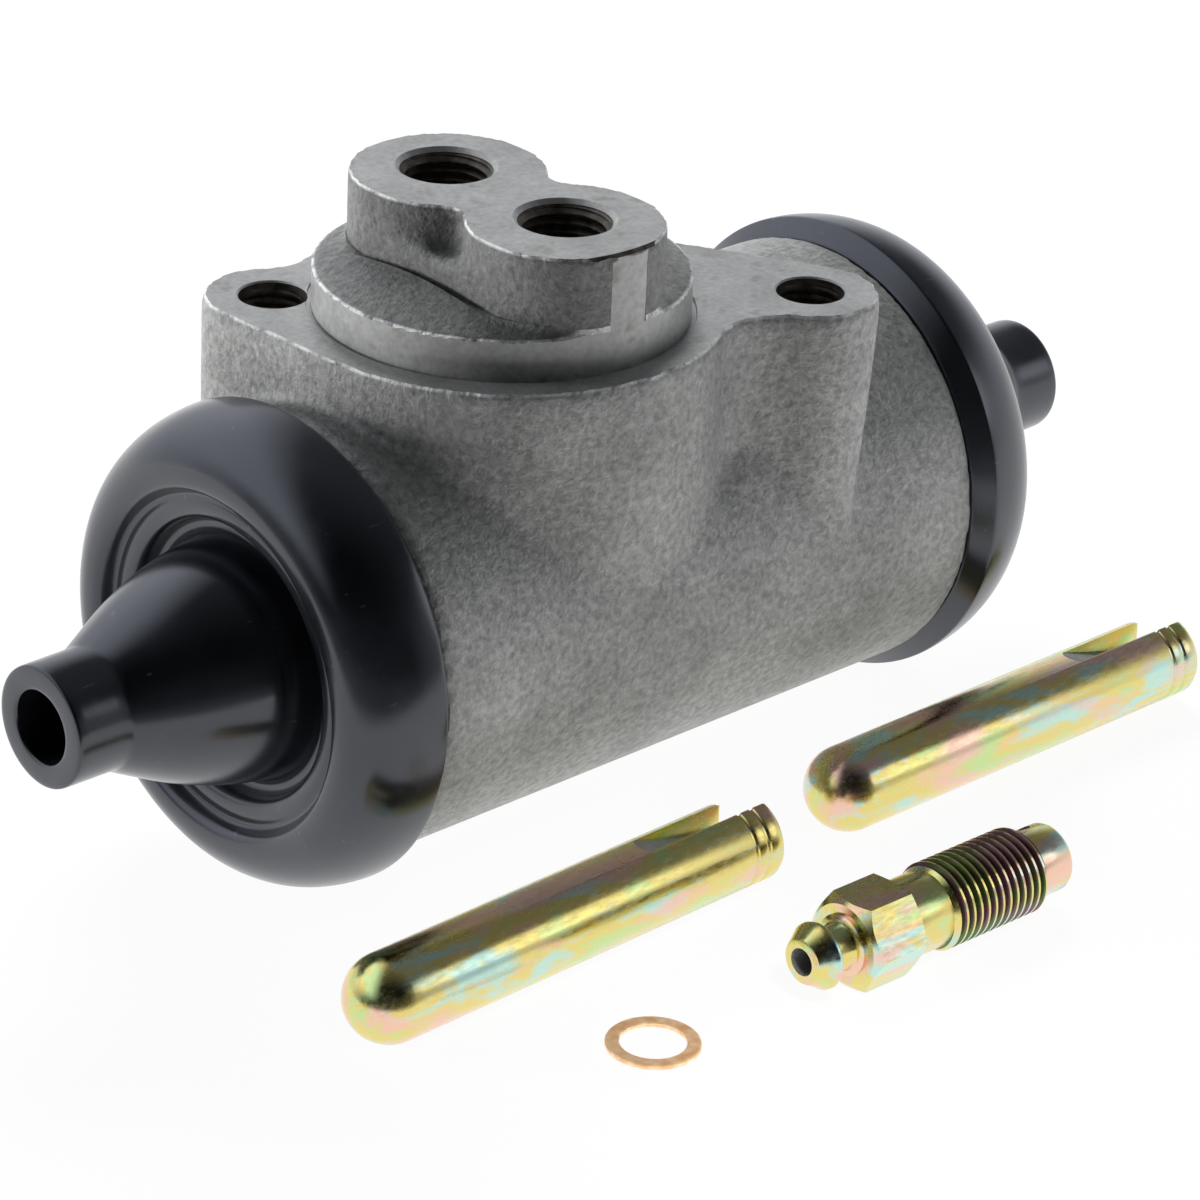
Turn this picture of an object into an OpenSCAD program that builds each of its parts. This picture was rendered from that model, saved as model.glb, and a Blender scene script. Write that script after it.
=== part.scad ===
// Drum-brake wheel cylinder: an iron casting with two opposed pistons under rubber boots.
// Its two push rods, bleed screw and sealing washer lie beside it, ready to be fitted.
// Origin: centre of the mounting pilot, on the mounting face.
// +X runs along the bore to its long end, +Z points out of the fluid ports.

/* [Barrel] */
// Bore diameter
bore_d = 34.9; // [32:0.1:37]
// Outside diameter of the cast barrel
barrel_d = 48; // [47:0.5:54]
// Mounting face to the bore's axis
axis_drop = 30; // [28:0.5:36]
// Pilot centre to the left boot shoulder
left_len = 27.4; // [27:0.1:34]
// Pilot centre to the right boot shoulder
right_len = 48.8; // [44:0.1:60]
// Step from the barrel down to the boot's seat
seat_step = 2.2; // [1.8:0.1:2.6]
// Length of the boot's seat
seat_len = 6.9; // [6.2:0.1:7.4]
// Depth of the groove that holds the boot's bead
groove_depth = 0.9; // [0.4:0.1:1.2]
// Width of that groove
groove_w = 2; // [1.2:0.1:2.6]
// Chamfer at the bore's mouths
mouth_chamfer = 0.8; // [0.3:0.1:1.2]

/* [Mounting flange] */
// Diameter of the turned pilot
pilot_d = 39.6; // [38:0.1:44]
// Height of the pilot's turned side
pilot_h = 4; // [3:0.1:5]
// Rise of the cast cone on top of the pilot
pilot_rise = 2.4; // [1.5:0.1:3]
// Width of the flat mounting ledge round the pilot
ledge_w = 3.6; // [3:0.1:5]
// Left ear hole, along the bore
left_ear_x = -17.2; // [-18:0.1:-16]
// Left ear hole, across the bore
left_ear_y = 16.4; // [15.5:0.1:17.5]
// Right ear hole, along the bore
right_ear_x = 28.3; // [26:0.1:32]
// Right ear hole, across the bore
right_ear_y = -17.2; // [-18:0.1:-16]
// Radius of the ears
ear_r = 7.1; // [6.4:0.1:7.5]
// Tapping diameter of the ear holes
ear_hole_d = 6.9; // [6:0.1:7.4]
// Depth of the ear holes
ear_hole_depth = 14; // [10:0.5:15]
// Chamfer at the ear holes' mouths
ear_chamfer = 0.2; // [0.1:0.05:0.3]
// Fillet between the left ear and the drum
left_ear_fillet = 6; // [4:0.5:8]
// Fillet between the right ear and the drum
right_ear_fillet = 8; // [6:0.5:10]
// Lean of the right ear's outer side, inward as it goes down to the barrel
right_ear_lean = 6.5; // [2:0.5:8]
// Depth of the flat that this side leaves at the top of the ear
ear_flat = 0.1; // [0.05:0.05:0.3]

/* [Ports] */
// Mounting face to the port face
port_face_h = 12.6; // [11.5:0.1:15]
// Distance between the two ports
port_spacing = 18.2; // [17:0.1:19]
// Tapping diameter of the ports
port_d = 8.6; // [7.5:0.1:9.5]
// Depth of the ports' thread
port_depth = 14; // [12:0.5:16]
// Diameter of the ports' chamfer
port_chamfer_d = 10.9; // [10:0.1:12]
// Feed drilling from a port to the bore
feed_d = 3; // [2:0.1:4]
// Radius of the lobe of metal round a port
lobe_r = 10.15; // [9.6:0.05:10.8]
// Distance of the front lobe's centre beyond its port
front_lobe_shift = 0.65; // [0:0.05:0.8]
// Distance of the rear lobe's centre beyond its port
rear_lobe_shift = -1; // [-1.5:0.1:0.5]
// Offset of the cast lobes from the ports, along the bore
lobe_offset = -0.6; // [-1:0.1:0]
// Fillet in the waist between the lobes
waist_fillet = 2.6; // [2:0.1:4]
// Depth to which the lobes are turned below the pilot's side
lobe_relief = 0.25; // [0.2:0.05:0.5]
// Height of the straight left flank that fills the waist
flank_h = 9.2; // [7.5:0.1:10]
// Outward fall of the flank's top
flank_fall = 4; // [2:0.5:10]

/* [Boots] */
// How far the boot's rim stands out from the barrel
boot_proud = 2; // [1.5:0.1:3]
// Bevel on the back of the boot's lip
lip_bevel = 1.95; // [1:0.05:2.5]
// Radial clearance between boot and seat
boot_fit = 0.1; // [0.05:0.05:0.2]
// Radius of the boot's rolled crest
crest_r = 19.8; // [19.3:0.1:20.5]
// Reach of the crest beyond the rim
crest_reach = 9.5; // [9:0.1:11]
// Radius of the nose cone at its root
nose_r = 12.7; // [12:0.1:13.2]
// Radius of the tube at the end of the nose
tube_r = 6.5; // [6:0.1:7.5]
// Length of that tube
tube_len = 6.7; // [5:0.1:9]
// Radius of the hole that grips the push rod
nose_hole_r = 3.9; // [3:0.1:4.4]
// Shoulder to the tip of the boot
boot_len = 33.1; // [30:0.1:38]
// Thickness of the boot's wall
boot_wall = 2.2; // [1.8:0.1:2.4]

/* [Pistons and seals] */
// Radial running clearance of the pistons
piston_gap = 0.04; // [0.02:0.01:0.08]
// Piston length
piston_len = 14; // [12:0.5:15]
// Piston face to the end of the barrel, at rest
piston_recess = 7.3; // [7:0.1:9]
// Clearance of the push rod in the piston's socket
socket_gap = 0.5; // [0.3:0.1:1]
// Depth of that socket
socket_depth = 8; // [6:0.5:9]
// Length of a cup seal
cup_len = 7; // [6:0.5:8]
// Thickness of a cup seal's floor
cup_floor = 3; // [2.5:0.1:4]
// Thickness of a cup seal's lip at its root
cup_lip = 2.6; // [2:0.1:3]
// Radial clearance of a cup seal in the bore
cup_gap = 0.05; // [0.03:0.01:0.1]
// Sheet thickness of a cup expander
expander_t = 0.8; // [0.6:0.1:1]
// Height of an expander's rim
expander_h = 3.2; // [2.5:0.1:4]
// Clearance between expander and cup seal
expander_gap = 0.3; // [0.2:0.1:0.5]
// Wire diameter of the return spring
spring_wire = 1.8; // [1.4:0.1:2.2]
// Outside diameter of the return spring
spring_d = 22; // [20:0.5:24]
// Turns of the return spring
spring_turns = 8; // [6:1:10]
// End clearance of the return spring
spring_gap = 0.1; // [0.05:0.05:0.3]

/* [Push rods] */
// Rod diameter
rod_d = 9.5; // [8.5:0.1:10.5]
// Rod length, round end to fork
rod_len = 56.5; // [50:0.5:65]
// Width of the fork's slot
fork_w = 2.8; // [2.2:0.1:4]
// Length of the fork's slot along the rod's top
fork_len = 17.4; // [14:0.1:22]
// Slope of the slot's floor
fork_slope = 16; // [12:1:24]
// Length that the fork's far tine is short of the near one
tine_short = 4; // [2:0.5:6]
// Width of each of the two ring grooves at the fork
ring_w = 0.6; // [0.4:0.1:1]
// Depth of the ring grooves
ring_depth = 0.3; // [0.1:0.05:0.5]
// First ring groove to the fork's end
ring_at = 2; // [1.5:0.1:3]
// Distance between the ring grooves
ring_pitch = 1.8; // [1.2:0.1:2.4]
// Edge chamfer at the fork's end
rod_chamfer = 0.5; // [0.2:0.1:0.8]

/* [Bleed screw and washer] */
// Thread diameter of the bleed screw
screw_d = 9.5; // [8:0.1:10]
// Length of its thread
screw_thread_len = 14.4; // [11:0.1:17]
// Width of its hexagon across the flats
hex_af = 9.5; // [9:0.1:11]
// Length of its hexagon
hex_len = 7.1; // [5:0.1:9]
// Diameter of the plain neck behind the hexagon
screw_neck_d = 8.4; // [7:0.1:9]
// Length of that neck
screw_neck_len = 4.6; // [3:0.1:6]
// Diameter of the plain sealing tip
screw_tip_d = 7.5; // [6.5:0.1:8]
// Length of the sealing tip
screw_tip_len = 4.1; // [3:0.1:5]
// Largest diameter of the hose nipple
nipple_d = 7.2; // [6.8:0.1:8]
// Diameter of the nipple's open end
nipple_tip_d = 4.9; // [4.4:0.1:5.5]
// Length of the nipple from its open end to the hexagon
nipple_len = 5.9; // [5.4:0.1:8]
// Bleed passage along the screw
bleed_hole_d = 3; // [2:0.1:3.4]
// Outside diameter of the sealing washer
washer_od = 9.7; // [9:0.1:12]
// Hole in the sealing washer
washer_id = 6.8; // [6:0.1:8]
// Thickness of the sealing washer
washer_t = 0.5; // [0.4:0.1:1.5]

/* [Layout of the loose pieces] */
// Left rod's round end, along the bore
left_rod_x = -44; // [-50:0.5:-40]
// Clear space between the boots and the left rod
left_rod_gap = 3.8; // [3:0.1:8]
// Turn of the left rod
left_rod_turn = 1.2; // [0:0.1:3]
// Right rod's round end, along the bore
right_rod_x = 23; // [20:0.1:30]
// Clear space between the boots and the right rod
right_rod_gap = 1.5; // [1:0.1:4]
// Bleed screw's nipple, along the bore
screw_x = -7.3; // [-15:0.1:5]
// Clear space between the left rod and the bleed screw
screw_clear = 11.5; // [6:0.1:15]
// Turn of the bleed screw
screw_turn = -1; // [-6:0.5:0]
// Washer's centre, along the bore
washer_x = -24.4; // [-30:0.1:-20]
// Clear space between the left rod and the washer
washer_clear = 8; // [5:0.1:12]

/* [Hidden] */
$fn = 96;
eps = 0.01;
over = 1;
// Overlap at which touching curves cross
blend = 0.03;

iron = [0.42, 0.43, 0.43];
rubber = [0.07, 0.07, 0.08];
alloy = [0.72, 0.73, 0.75];
steel = [0.55, 0.56, 0.58];
zinc = [0.80, 0.75, 0.45];
copper = [0.86, 0.57, 0.38];

bore_r = bore_d / 2;
barrel_r = barrel_d / 2;
seat_r = barrel_r - seat_step;
boot_r = barrel_r + boot_proud;
drum_r = pilot_d / 2 + ledge_w;
floor_z = -axis_drop - boot_r;
left_ear = [left_ear_x, left_ear_y];
right_ear = [right_ear_x, right_ear_y];
port_y = port_spacing / 2;
front_lobe = [lobe_offset, -port_y - front_lobe_shift];
rear_lobe = [lobe_offset, port_y + rear_lobe_shift];
left_end = -left_len - seat_len;
right_end = right_len + seat_len;
groove_at = (seat_len - groove_w) / 2;
groove_flank = 0.2;

// Angle of a flat vector
function heading(v) = atan2(v[1], v[0]);
// Unit vector at an angle
function unit(a) = [cos(a), sin(a)];
// Points of an elliptic arc in a half section
function arc(centre, rx, ry, from, to, steps) =
    [for (i = [0:steps]) let (a = from + (to - from) * i / steps) centre + [rx * cos(a), ry * sin(a)]];
// Centre of the fillet that touches two circles from outside, left or right of the line between them
function fillet_centre(c1, r1, c2, r2, fillet, side) =
    let (d = norm(c2 - c1), a = r1 + fillet - blend, b = r2 + fillet - blend)
    let (along = (a * a - b * b + d * d) / (2 * d))
    c1 + along * unit(heading(c2 - c1)) + side * sqrt(a * a - along * along) * unit(heading(c2 - c1) + 90);

// Places a turned piece with its axis outward along the bore, starting at a boot shoulder
module at_left() {
    translate([-left_len, 0, -axis_drop]) rotate([0, -90, 0]) children();
}

module at_right() {
    translate([right_len, 0, -axis_drop]) rotate([0, 90, 0]) children();
}

// Turned seat at each end of the barrel, with the groove for the boot's bead
module boot_seat() {
    rotate_extrude() polygon([
        [0, -over], [seat_r, -over], [seat_r, groove_at],
        [seat_r - groove_depth, groove_at + groove_flank],
        [seat_r - groove_depth, groove_at + groove_w - groove_flank],
        [seat_r, groove_at + groove_w], [seat_r, seat_len], [0, seat_len]]);
}

// Ear and web in plan: a straight side touches drum and ear, a fillet fills the other side
module ear_plan(ear, fillet, side) {
    d = norm(ear);
    tangent = unit(heading(ear) - side * acos((drum_r - ear_r) / d));
    centre = fillet_centre([0, 0], drum_r, ear, ear_r, fillet, side);
    translate(ear) circle(ear_r);
    polygon([[0, 0], (drum_r - blend) * tangent, ear + (ear_r - blend) * tangent, ear]);
    difference() {
        polygon([[0, 0], ear, centre]);
        translate(centre) circle(fillet);
    }
}

// Drum and ears, from the mounting face down into the barrel
module flange() {
    lean_at = norm(right_ear) + ear_r - ear_flat;
    translate([0, 0, -axis_drop]) linear_extrude(axis_drop) {
        circle(drum_r);
        ear_plan(left_ear, left_ear_fillet, -1);
    }
    difference() {
        translate([0, 0, -axis_drop]) linear_extrude(axis_drop) ear_plan(right_ear, right_ear_fillet, -1);
        rotate([0, 0, heading(right_ear)]) translate([lean_at, 0, 0]) rotate([0, right_ear_lean, 0])
            translate([0, -2 * ear_r, -2 * axis_drop]) cube([2 * ear_r, 4 * ear_r, 3 * axis_drop]);
    }
}

// Twin-lobed plan of the port boss
module lobes_plan() {
    waist = [for (side = [1, -1]) fillet_centre(front_lobe, lobe_r, rear_lobe, lobe_r, waist_fillet, side)];
    for (lobe = [front_lobe, rear_lobe]) translate(lobe) circle(lobe_r);
    difference() {
        polygon([rear_lobe, waist[0], front_lobe, waist[1]]);
        for (centre = waist) translate(centre) circle(waist_fillet);
    }
}

// Straight left flank under the waist, with a top that falls outward
module flank() {
    span = rear_lobe[1] - front_lobe[1];
    intersection() {
        translate([lobe_offset - lobe_r + blend, front_lobe[1], 0]) cube([lobe_r, span, port_face_h - over]);
        translate([lobe_offset, front_lobe[1] - over, flank_h]) rotate([0, -flank_fall, 0])
            translate([-2 * lobe_r, 0, -2 * port_face_h])
                cube([3 * lobe_r, span + 2 * over, 2 * port_face_h]);
    }
}

// Pilot with its cast cone, and the port boss, whose front is turned with the pilot
module pilot_and_ports() {
    translate([0, 0, -over]) cylinder(h = pilot_h + over, d = pilot_d);
    translate([0, 0, pilot_h - eps]) cylinder(h = pilot_rise, r1 = pilot_d / 2 - eps, r2 = lobe_r);
    intersection() {
        union() {
            linear_extrude(port_face_h) lobes_plan();
            flank();
        }
        cylinder(h = port_face_h + over, r = pilot_d / 2 - lobe_relief);
    }
}

// Tapping drill with a pointed end, a chamfered mouth and its face at the origin
module tapped_hole(d, depth, chamfer_d) {
    chamfer = (chamfer_d - d) / 2;
    rotate_extrude() polygon([[0, -depth - d / 2 * tan(30)], [d / 2, -depth], [d / 2, -chamfer],
        [d / 2 + chamfer, 0], [d / 2 + chamfer, over], [0, over]]);
}

module port_hole() {
    translate([0, 0, port_face_h]) tapped_hole(port_d, port_depth, port_chamfer_d);
    translate([0, 0, -axis_drop]) cylinder(h = axis_drop, d = feed_d);
}

// Bore through the barrel with a chamfered mouth at each end
module bore() {
    translate([left_end - over, 0, -axis_drop]) rotate([0, 90, 0])
        cylinder(h = right_end - left_end + 2 * over, r = bore_r);
    for (end = [[left_end, 90], [right_end, -90]])
        translate([end[0], 0, -axis_drop]) rotate([0, end[1], 0])
            translate([0, 0, -eps])
                cylinder(h = mouth_chamfer + eps, r1 = bore_r + mouth_chamfer + eps, r2 = bore_r);
}

module casting() {
    color(iron) difference() {
        union() {
            translate([-left_len, 0, -axis_drop]) rotate([0, 90, 0])
                cylinder(h = left_len + right_len, r = barrel_r);
            at_left() boot_seat();
            at_right() boot_seat();
            flange();
            pilot_and_ports();
        }
        bore();
        for (side = [-1, 1]) translate([0, side * port_y, 0]) port_hole();
        for (ear = [left_ear, right_ear])
            translate(ear) tapped_hole(ear_hole_d, ear_hole_depth, ear_hole_d + 2 * ear_chamfer);
    }
}

// Moulded boot: lip over the seat, rolled crest, grooved face, valley, cone and tube
module boot() {
    rim = lip_bevel;
    crest = rim + crest_reach;
    roll = 1.6;
    face = crest - roll;
    groove = 0.5;
    valley = seat_len + 0.25;
    inside = seat_r + boot_fit;
    bead = groove_depth - boot_fit;
    span = crest_r - roll - nose_r;
    tube_at = boot_len - tube_len;
    cone_len = tube_at - face;
    outer = concat(
        [[inside, boot_fit], [barrel_r, boot_fit]],
        arc([crest_r, rim], boot_r - crest_r, crest_reach, 0, 90, 12),
        arc([crest_r, face], roll, roll, 90, 180, 6),
        [[nose_r + 0.96 * span, face - groove], [nose_r + 0.82 * span, face - groove],
            [nose_r + 0.80 * span, face], [nose_r + 0.45 * span, face - 0.5]],
        arc([nose_r + 0.24 * span, valley + 0.8], 0.16 * span, 0.8, 0, -180, 6),
        [[nose_r, face - 1.2], [nose_r - 0.3, face + 0.14 * cone_len], [nose_r - 1.4, face + 0.35 * cone_len],
            [nose_r - 2.5, face + 0.57 * cone_len], [(nose_r + tube_r) / 2 - 1.3, face + 0.79 * cone_len],
            [tube_r, tube_at], [tube_r, boot_len]]);
    inner = concat(
        [[nose_hole_r, boot_len], [nose_hole_r, tube_at], [nose_r - 2.5 - boot_wall, face + 0.57 * cone_len],
            [nose_r - 1.4 - boot_wall, face + 0.35 * cone_len], [nose_r - 0.3 - boot_wall, face + 0.14 * cone_len],
            [nose_r - boot_wall + 0.5, valley], [nose_r + 0.1 * span, valley + 0.2 - boot_wall],
            [nose_r + 0.38 * span, valley + 0.2 - boot_wall], [nose_r + 0.55 * span, seat_len + 0.15],
            [crest_r - roll, seat_len + 0.25]],
        arc([crest_r + 0.4, seat_len + 0.25], 1.2, crest - boot_wall - seat_len - 0.25, 180, 0, 8),
        [[inside, seat_len + 0.25], [inside, groove_at + groove_w - boot_fit],
            [inside - bead, groove_at + groove_w - groove_flank - boot_fit],
            [inside - bead, groove_at + groove_flank + boot_fit], [inside, groove_at + boot_fit]]);
    rotate_extrude() polygon(concat(outer, inner));
}

module left_boot() {
    color(rubber) at_left() boot();
}

module right_boot() {
    color(rubber) at_right() boot();
}

// Piston, measured inward from its outer face, with a round-bottomed socket for the push rod
module piston() {
    r = bore_r - piston_gap;
    edge = 0.8;
    socket_r = (rod_d + socket_gap) / 2;
    difference() {
        rotate_extrude() polygon([[0, 0], [r - edge, 0], [r, edge], [r, piston_len - edge],
            [r - edge, piston_len], [0, piston_len]]);
        translate([0, 0, -over]) cylinder(h = over + socket_depth - socket_r, r = socket_r);
        translate([0, 0, socket_depth - socket_r]) sphere(socket_r);
        translate([0, 0, -eps]) cylinder(h = edge + eps, r1 = socket_r + edge + eps, r2 = socket_r);
    }
}

// Cup seal, measured inward from the piston
module cup() {
    r = bore_r - cup_gap;
    rotate_extrude() polygon([[0, 0], [r - 0.6, 0], [r, 1], [r, cup_len - 0.6], [r - 0.6, cup_len],
        [r - cup_lip, cup_floor + 0.6], [r - cup_lip - 0.6, cup_floor], [0, cup_floor]]);
}

// Pressed steel expander that sits on the cup's floor and centres the spring
module expander() {
    r = bore_r - cup_gap - cup_lip - 0.6 - expander_gap;
    rotate_extrude() polygon([[3, 0], [r - 0.8, 0], [r, 0.8], [r, expander_h], [r - expander_t, expander_h],
        [r - expander_t, expander_t + 0.3], [r - expander_t - 0.3, expander_t], [3, expander_t]]);
}

// Places a piece inward along the bore from a piston's outer face
module left_stack(depth) {
    at_left() translate([0, 0, seat_len - piston_recess - depth]) mirror([0, 0, 1]) children();
}

module right_stack(depth) {
    at_right() translate([0, 0, seat_len - piston_recess - depth]) mirror([0, 0, 1]) children();
}

module left_piston() {
    color(alloy) left_stack(0) piston();
}

module right_piston() {
    color(alloy) right_stack(0) piston();
}

module left_cup() {
    color(rubber) left_stack(piston_len) cup();
}

module right_cup() {
    color(rubber) right_stack(piston_len) cup();
}

module left_expander() {
    color(steel) left_stack(piston_len + cup_floor) expander();
}

module right_expander() {
    color(steel) right_stack(piston_len + cup_floor) expander();
}

// Helical return spring between the expanders, with its end turns closed up
module return_spring() {
    stack = piston_recess + piston_len + cup_floor + expander_t + spring_gap + spring_wire / 2;
    from = left_end + stack;
    to = right_end - stack;
    coil_r = (spring_d - spring_wire) / 2;
    per_turn = 24;
    sides = 8;
    rings = spring_turns * per_turn;
    // Travel along the axis: the first and last turns lie close to their neighbours
    closed = spring_wire * 1.1;
    open = (to - from - 2 * closed) / (spring_turns - 2);
    function travel(t) = t < 1 ? closed * t
        : t > spring_turns - 1 ? (to - from) - closed * (spring_turns - t)
        : closed + open * (t - 1);
    points = [for (i = [0:rings], k = [0:sides - 1])
        let (t = i / per_turn, a = 360 * t, b = 360 * k / sides, r = coil_r + spring_wire / 2 * cos(b))
        [from + travel(t) + spring_wire / 2 * sin(b), r * cos(a), r * sin(a) - axis_drop]];
    skin = [for (i = [0:rings - 1], k = [0:sides - 1])
        let (n = (k + 1) % sides, low = i * sides, high = low + sides)
        [low + k, high + k, high + n, low + n]];
    ends = [[for (k = [0:sides - 1]) k], [for (k = [sides - 1:-1:0]) rings * sides + k]];
    color(steel) polyhedron(points, concat(skin, ends), convexity = 10);
}

// Push rod along +Z: round end at the origin's sphere, fork at the far end with its tines across Y
module push_rod() {
    r = rod_d / 2;
    end = rod_len - r;
    slot_floor = (fork_len + over) * tan(fork_slope) - r;
    difference() {
        union() {
            sphere(r);
            cylinder(h = end - rod_chamfer, r = r);
            translate([0, 0, end - rod_chamfer]) cylinder(h = rod_chamfer, r1 = r, r2 = r - rod_chamfer);
        }
        for (back = [ring_at, ring_at + ring_pitch]) translate([0, 0, end - back - ring_w])
            rotate_extrude() translate([r - ring_depth, 0]) square([ring_depth + over, ring_w]);
        translate([0, fork_w / 2, end]) rotate([90, 0, 0]) linear_extrude(fork_w)
            polygon([[-r, -fork_len], [-r - over, -fork_len], [-r - over, over], [slot_floor, over]]);
        translate([-r - over, 0, end - tine_short]) cube([2 * (r + over), r + over, tine_short + over]);
    }
}

module left_push_rod() {
    color(zinc) translate([left_rod_x, -boot_r - left_rod_gap - rod_d / 2, floor_z + rod_d / 2])
        rotate([0, 0, left_rod_turn]) rotate([0, 90, 0]) push_rod();
}

module right_push_rod() {
    color(zinc) translate([right_rod_x, -boot_r - right_rod_gap - rod_d / 2, floor_z + rod_d / 2])
        rotate([0, 90, 0]) push_rod();
}

// Bleed screw along +Z from its open nipple to its sealing tip
module screw() {
    hex_r = hex_af / 2 / cos(30);
    neck_at = nipple_len + hex_len;
    thread_at = neck_at + screw_neck_len;
    tip_at = thread_at + screw_thread_len;
    end = tip_at + screw_tip_len;
    lead = (screw_d - screw_neck_d) / 2;
    run = (screw_d - screw_tip_d) / 2;
    hex_face = hex_af / 2 - 0.4;
    barb = nipple_d / 2;
    throat = nipple_tip_d / 2 + 0.35;
    difference() {
        union() {
            rotate_extrude() polygon([[0, 0], [nipple_tip_d / 2, 0], [barb - 0.3, 2.4], [barb, 2.9],
                [barb - 0.2, 3.5], [throat, 4.3], [throat, nipple_len - 0.9], [barb, nipple_len - 0.5],
                [barb, nipple_len + eps], [0, nipple_len + eps]]);
            intersection() {
                translate([0, 0, nipple_len]) cylinder(h = hex_len, r = hex_r, $fn = 6);
                translate([0, 0, nipple_len]) rotate_extrude() polygon([[0, 0], [hex_face, 0], [hex_r, 0.9],
                    [hex_r, hex_len - 0.5], [hex_face, hex_len], [0, hex_len]]);
            }
            rotate_extrude() polygon([[0, neck_at - over], [screw_neck_d / 2, neck_at - over],
                [screw_neck_d / 2, thread_at], [screw_d / 2, thread_at + lead], [screw_d / 2, tip_at - run],
                [screw_tip_d / 2, tip_at], [screw_tip_d / 2, end - 0.6], [screw_tip_d / 2 - 0.6, end], [0, end]]);
        }
        translate([0, 0, -over]) cylinder(h = tip_at + screw_tip_len / 2 + over, d = bleed_hole_d);
        translate([0, 0, tip_at + 0.4 * screw_tip_len]) rotate([90, 0, 30])
            cylinder(h = 2 * screw_d, d = 0.6 * bleed_hole_d, center = true);
    }
}

module bleed_screw() {
    left_rod_front = boot_r + left_rod_gap + rod_d;
    color(zinc) translate([screw_x, -left_rod_front - screw_clear - hex_af / 2, floor_z + hex_af / 2])
        rotate([0, 0, screw_turn]) rotate([0, 90, 0]) rotate([0, 0, 30]) screw();
}

module copper_washer() {
    left_rod_front = boot_r + left_rod_gap + rod_d;
    color(copper) translate([washer_x, -left_rod_front - washer_clear - washer_od / 2, floor_z])
        difference() {
            cylinder(h = washer_t, d = washer_od);
            translate([0, 0, -over]) cylinder(h = washer_t + 2 * over, d = washer_id);
        }
}

casting();
left_boot();
right_boot();
left_piston();
right_piston();
left_cup();
right_cup();
left_expander();
right_expander();
return_spring();
left_push_rod();
right_push_rod();
bleed_screw();
copper_washer();
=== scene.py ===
from math import cos, pi, radians, sin

import bpy
from mathutils import Matrix, Vector


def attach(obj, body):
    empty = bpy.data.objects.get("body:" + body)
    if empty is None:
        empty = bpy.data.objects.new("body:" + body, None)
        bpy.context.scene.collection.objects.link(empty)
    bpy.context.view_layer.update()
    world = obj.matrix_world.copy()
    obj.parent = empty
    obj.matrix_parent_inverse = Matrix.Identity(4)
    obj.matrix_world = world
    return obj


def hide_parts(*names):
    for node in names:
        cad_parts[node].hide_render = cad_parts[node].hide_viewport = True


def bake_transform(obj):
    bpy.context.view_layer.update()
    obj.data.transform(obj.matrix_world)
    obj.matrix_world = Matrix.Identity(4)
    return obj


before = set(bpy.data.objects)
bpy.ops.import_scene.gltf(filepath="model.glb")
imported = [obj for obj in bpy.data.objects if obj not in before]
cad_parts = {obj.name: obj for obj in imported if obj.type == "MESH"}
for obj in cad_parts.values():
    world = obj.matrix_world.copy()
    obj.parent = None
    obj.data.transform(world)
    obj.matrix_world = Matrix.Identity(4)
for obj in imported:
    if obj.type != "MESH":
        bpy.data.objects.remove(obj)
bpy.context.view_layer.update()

# Raw casting: barrel, eared flange, pilot and twin port boss in grey iron, poured in one sand mould.
# A copy of the solid gets the pocket in the boss's waist, is softened so that raw edges round off, and grows
# a skin of stock for the machine shop. The sharp moat along the foot of the boss is cut last.
MM = 0.001
pilot_r, port_face = 19.8, 12.6
lobe_x, front_lobe_y, rear_lobe_y, lobe_r = -0.6, -9.75, 8.1, 10.15
moat_w, moat_floor, moat_top, moat_end_x = 1.0, 5.3, 7.1, -3
pocket_x, pocket_y = -9.1, -1.2
stock, skin_voxel, soft_below = 0.3, 0.57, 1.5


def choose(*pieces):
    bpy.ops.object.select_all(action="DESELECT")
    for piece in pieces:
        piece.select_set(True)
    bpy.context.view_layer.objects.active = pieces[0]


def edit(piece):
    choose(piece)
    bpy.ops.object.mode_set(mode="EDIT")
    bpy.ops.mesh.select_all(action="SELECT")


def close_edit():
    bpy.ops.mesh.select_all(action="SELECT")
    bpy.ops.mesh.normals_make_consistent(inside=False)
    bpy.ops.object.mode_set(mode="OBJECT")


def apply(piece, kind, **settings):
    modifier = piece.modifiers.new(kind.title(), kind)
    for name, value in settings.items():
        setattr(modifier, name, value)
    choose(piece)
    bpy.ops.object.modifier_apply(modifier=modifier.name)


def merged_copy(node, name):
    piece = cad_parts[node].copy()
    piece.data = piece.data.copy()
    piece.name = name
    piece.parent = None
    bpy.context.collection.objects.link(piece)
    piece.data.materials.clear()
    edit(piece)
    bpy.ops.mesh.remove_doubles(threshold=0.002 * MM)
    bpy.ops.object.mode_set(mode="OBJECT")
    return piece


def cut(piece, tool, material=None, operation="DIFFERENCE"):
    if material:
        tool.data.materials.clear()
        tool.data.materials.append(material)
    apply(piece, "BOOLEAN", operation=operation, object=tool, solver="MANIFOLD", material_mode="TRANSFER")
    bpy.data.objects.remove(tool)


def turned(name, profile, sides=96):
    bpy.ops.object.select_all(action="DESELECT")
    bpy.ops.mesh.primitive_circle_add(vertices=sides, radius=profile[0][0] * MM)
    piece = bpy.context.object
    piece.name = name
    edit(piece)
    bpy.ops.transform.translate(value=(0, 0, profile[0][1] * MM))
    for (ra, za), (rb, zb) in zip(profile, profile[1:]):
        bpy.ops.mesh.extrude_region_move(TRANSFORM_OT_translate={"value": (0, 0, (zb - za) * MM)})
        bpy.ops.transform.resize(value=(rb / ra, rb / ra, 1), center_override=(0, 0, 0))
    bpy.ops.mesh.select_all(action="SELECT")
    bpy.ops.mesh.remove_doubles(threshold=0.0005 * MM)
    bpy.ops.mesh.fill_holes(sides=0)
    close_edit()
    return piece


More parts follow.
